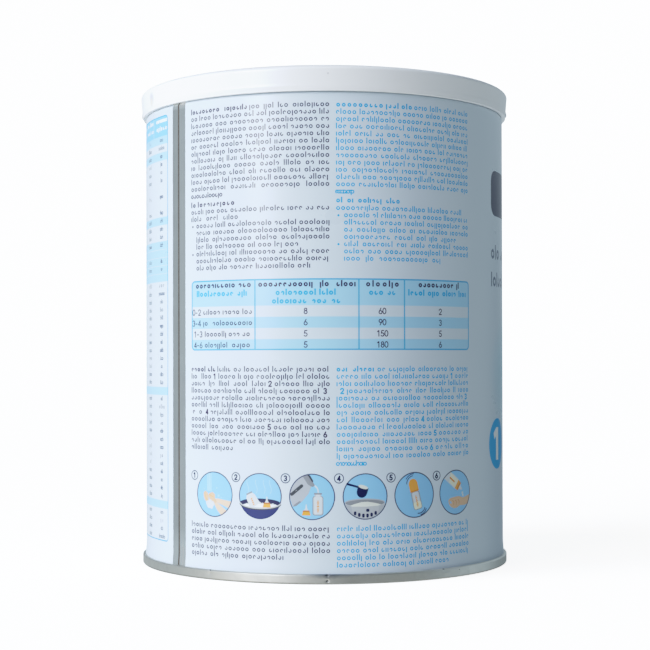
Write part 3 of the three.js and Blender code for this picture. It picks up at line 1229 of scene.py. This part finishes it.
# Painted shade in the deepest knocks of the seam ring, as arc, height and half sizes
SEAM_DENT_SHADES = (
    (0.73, 3.05, 0.66, 0.22),
    (0.73, 1.20, 0.48, 0.28),
    (41.5, 3.12, 0.40, 0.14),
    (48.6, 2.45, 0.18, 0.18),
    (-39.8, 3.08, 0.28, 0.16),
)


def seam_shift(angle, radius, z):
    """Small knocks in the seam ring, and its slightly uneven rolling."""
    if radius < SEAM_R - 1.3 or z < 0.05:
        return 0.0, 0.0
    out = -0.03 + 0.015 * math.sin(11 * angle) + 0.012 * math.sin(29 * angle + 0.8)
    for arc, height, wide, tall, depth in SEAM_MARKS:
        out += dent(angle, z, arc, height, wide, tall, depth, SEAM_R)
    return out, 0.0


def bottom_seam():
    inner = SEAM_R - SEAM_WIDTH
    panel = 2.3
    sink = 3.7
    sink_r = inner - 2.4
    bead_r = 44.0
    profile = [(0, panel), (20, panel), (21, panel - 0.25), (23, panel - 0.25), (24, panel)]
    profile += [(bead_r - 3.2, panel), (bead_r - 2.4, panel - 0.45), (bead_r - 1.2, panel - 0.7)]
    profile += [(bead_r + 1.2, panel - 0.7), (bead_r + 2.4, panel - 0.45), (bead_r + 3.2, panel)]
    profile += [(sink_r - 1.6, panel), (sink_r - 0.9, panel + 0.4), (sink_r - 0.3, sink - 0.3)]
    profile += arc_points(sink_r + 0.8, sink - 0.6, 0.6, 150, 30, 6)
    profile += [(inner - 0.2, 1.4)]
    profile += arc_points(inner + 0.6, 0.6, 0.6, 180, 270, 5)
    profile += arc_points(SEAM_R - SEAM_ROUND, SEAM_ROUND, SEAM_ROUND, -90, 0, 12)
    profile += [(SEAM_R, SEAM_ROUND + (SEAM_H - 0.55 - SEAM_ROUND) * k / 11) for k in range(1, 11)]
    profile += arc_points(SEAM_R - 0.55, SEAM_H - 0.55, 0.55, 0, 90, 10)
    profile += [(WALL_R - 0.3, SEAM_H - 0.05), (inner, SEAM_H - 0.05), (inner - 0.3, sink + 0.5)]
    profile += [(sink_r, sink + 0.5), (sink_r - 1.2, panel + 0.6), (0, panel + 0.6)]
    ring = turned("seam_ring", profile, angles_round(540, SEAM_MARKS, SEAM_R), MATERIALS["seam"], seam_shift)
    # Faces in the deepest knocks take a dark material that is painted shade.
    ring.data.materials.append(MATERIALS["scuff"])
    for face in ring.data.polygons:
        x, y, z = (c / MM for c in face.center)
        arc = math.atan2(x, -y) * SEAM_R
        for at, height, wide, tall in SEAM_DENT_SHADES:
            if math.hypot(x, y) > SEAM_R - 1.2 and math.hypot((arc - at) / wide, (z - height) / tall) < 1:
                face.material_index = 1
    return ring


# The studio


def towards(azimuth, elevation):
    """The way to a place in the room, by degrees to the right of the camera and above the floor."""
    turn, rise = math.radians(azimuth), math.radians(elevation)
    return (math.sin(turn) * math.cos(rise), -math.cos(turn) * math.cos(rise), math.sin(rise))


def soft_light(name, azimuth, elevation, spread, strength, colour, glossy):
    """Even light from one part of the room. Where it isn't glossy it leaves no highlight."""
    data = bpy.data.lights.new(name, "SUN")
    data.angle = math.radians(spread)
    data.energy = strength
    data.color = colour
    lamp = bpy.data.objects.new(name, data)
    lamp.rotation_euler = Vector(towards(azimuth, elevation)).to_track_quat("Z", "Y").to_euler()
    lamp.visible_glossy = glossy
    bpy.context.scene.collection.objects.link(lamp)


def floor():
    mesh = bpy.data.meshes.new("floor")
    half, steps = 12.0, 12
    verts = [(-half + 2 * half * i / steps, -half + 2 * half * j / steps, 0)
             for j in range(steps + 1) for i in range(steps + 1)]
    row = steps + 1
    corners = [j * row + i for j in range(steps) for i in range(steps)]
    faces = [(k, k + 1, k + row + 1, k + row) for k in corners]
    mesh.from_pydata(verts, [], faces)
    material, shader = new_material("floor_paper", (0.85, 0.875, 0.895), 0.8, specular=0.0)
    shade = to_range(material, noise(material, 3, 2), 0.0, 1.0)
    paper = blend_colours(material, shade, (0.85, 0.875, 0.895), (0.845, 0.87, 0.89))
    link(material, paper, shader, "Base Color")
    shader.inputs["Emission Color"].default_value = (1, 1, 1, 1)
    shader.inputs["Emission Strength"].default_value = 1.6
    mesh.materials.append(material)
    piece = bpy.data.objects.new("floor", mesh)
    bpy.context.scene.collection.objects.link(piece)
    piece.visible_diffuse = False
    piece.visible_glossy = False
    piece.visible_shadow = False


def surroundings():
    """The room that lights and reflects in the tin. The camera itself sees an even backdrop."""
    world = bpy.data.worlds.new("studio")
    world.use_nodes = True
    nodes, links = world.node_tree.nodes, world.node_tree.links
    nodes.clear()
    place = nodes.new("ShaderNodeTexCoord")
    colour = None
    for way, start, end, paint in ROOM:
        amount = nodes.new("ShaderNodeVectorMath")
        amount.operation = "DOT_PRODUCT"
        amount.inputs[1].default_value = way
        links.new(place.outputs["Generated"], amount.inputs[0])
        ease = nodes.new("ShaderNodeMapRange")
        ease.interpolation_type = "SMOOTHSTEP"
        ease.inputs["From Min"].default_value = start
        ease.inputs["From Max"].default_value = end
        links.new(amount.outputs["Value"], ease.inputs["Value"])
        mix = nodes.new("ShaderNodeMix")
        mix.data_type = "RGBA"
        below, above = [i for i in mix.inputs if i.type == "RGBA"]
        if colour:
            links.new(colour, below)
        else:
            below.default_value = (*DIM_ROOM, 1)
        above.default_value = (*paint, 1)
        links.new(ease.outputs["Result"], mix.inputs["Factor"])
        colour = [o for o in mix.outputs if o.type == "RGBA"][0]
    room = nodes.new("ShaderNodeBackground")
    links.new(colour, room.inputs["Color"])
    seen = nodes.new("ShaderNodeBackground")
    seen.inputs["Color"].default_value = (*BACKDROP, 1)
    path = nodes.new("ShaderNodeLightPath")
    mix = nodes.new("ShaderNodeMixShader")
    output = nodes.new("ShaderNodeOutputWorld")
    links.new(path.outputs["Is Camera Ray"], mix.inputs["Fac"])
    links.new(room.outputs[0], mix.inputs[1])
    links.new(seen.outputs[0], mix.inputs[2])
    links.new(mix.outputs[0], output.inputs["Surface"])
    bpy.context.scene.world = world


def level(azimuth):
    return towards(azimuth, 0)


DIM_ROOM = (0.05, 0.065, 0.07)
# Areas of the room: the way each lies, how squarely a ray points there where it starts and where it is
# full, and its colour
ROOM = (
    (level(-125), 0.2, 0.9, (0.47, 0.55, 0.60)),
    (towards(132, 8), 0.2, 0.9, (0.46, 0.58, 0.66)),
    ((0, 0, 1), 0.35, 0.75, (0.30, 0.36, 0.40)),
    (towards(8, 42), 0.80, 0.93, (0.04, 0.05, 0.06)),
    (towards(142, -14), 0.90, 0.98, (0.04, 0.06, 0.08)),
    ((0, 0, -1), 0.25, 0.65, (1.00, 1.10, 1.10)),
    (towards(-50, -34), 0.78, 0.96, (1.25, 1.22, 1.08)),
    (towards(42, -14), 0.93, 0.985, (0.26, 0.28, 0.28)),
)
BACKDROP = (2.5, 2.6, 2.7)


KEY_COLOUR = (1.0, 1.06, 1.18)


def lights():
    soft_light("key_front", -40, 14, 21, 1.58, KEY_COLOUR, glossy=True)
    soft_light("key_side", -69, 20, 34, 4.85, KEY_COLOUR, glossy=False)
    soft_light("high_glow", -36, 40, 40, 0.45, KEY_COLOUR, glossy=True)


# How the photograph's own exposure turns light into brightness, easing off to white
RESPONSE_WHITE = 3.0
RESPONSE = (
    (0.08, 0.092), (0.2, 0.213), (0.4, 0.381), (0.65, 0.542), (0.95, 0.680), (1.3, 0.790),
    (1.6, 0.868), (1.8, 0.925), (2.1, 0.958), (2.45, 0.985),
)


def camera_response():
    view = bpy.context.scene.view_settings
    view.view_transform = "Standard"
    view.use_curve_mapping = True
    mapping = view.curve_mapping
    mapping.white_level = (RESPONSE_WHITE, RESPONSE_WHITE, RESPONSE_WHITE)
    for light, brightness in RESPONSE:
        mapping.curves[3].points.new(light / RESPONSE_WHITE, brightness)
    mapping.update()


# The camera, fitted to the photograph's curves

CAMERA_FROM_AXIS = 550.2
CAMERA_Z = 70.7
CAMERA_TILT_UP = 0.36
CAMERA_ROLL = 0.12
FOCAL_PX = 1532.0
CENTRE_PX = (324.5, 351.9)
FRAME_PX = 650
SENSOR = 36.0


def camera():
    data = bpy.data.cameras.new("camera")
    data.sensor_width = SENSOR
    data.lens = FOCAL_PX / FRAME_PX * SENSOR
    data.shift_x = (FRAME_PX / 2 - CENTRE_PX[0]) / FRAME_PX
    data.shift_y = (CENTRE_PX[1] - FRAME_PX / 2) / FRAME_PX
    data.clip_start = 0.01
    piece = bpy.data.objects.new("camera", data)
    piece.location = (0, -CAMERA_FROM_AXIS * MM, CAMERA_Z * MM)
    piece.rotation_euler = (math.radians(90 + CAMERA_TILT_UP), math.radians(CAMERA_ROLL), 0)
    bpy.context.scene.collection.objects.link(piece)
    bpy.context.scene.camera = piece


MATERIALS = {name: lacquered_ink("print_" + name, INKS[name]) for name in INKS if name != "ground"}
MATERIALS["ground"] = ground_ink()
MATERIALS["bare_steel"] = bare_steel("bare_steel", (0.70, 0.735, 0.745))
# The same bare steel painted lighter for the band right of the weld: a painted reflection.
MATERIALS["bare_steel_painted_lighter"] = bare_steel("bare_steel_painted_lighter", (0.79, 0.83, 0.84))
MATERIALS["weld_line"] = weld_line()
MATERIALS["seam"] = seam_steel()
MATERIALS["scuff"] = scuffed_steel()
MATERIALS["lid"] = lid_plastic()

PIECES = (
    (printed_wall, "tin_body", "printed_tinplate"),
    (bottom_seam, "bottom_end", "bare_tinplate"),
    (lid, "lid", "lid_plastic"),
)
for make, node, slot in PIECES:
    piece = make()
    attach(piece, "root")
    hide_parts(node)

camera()
floor()
surroundings()
lights()
camera_response()
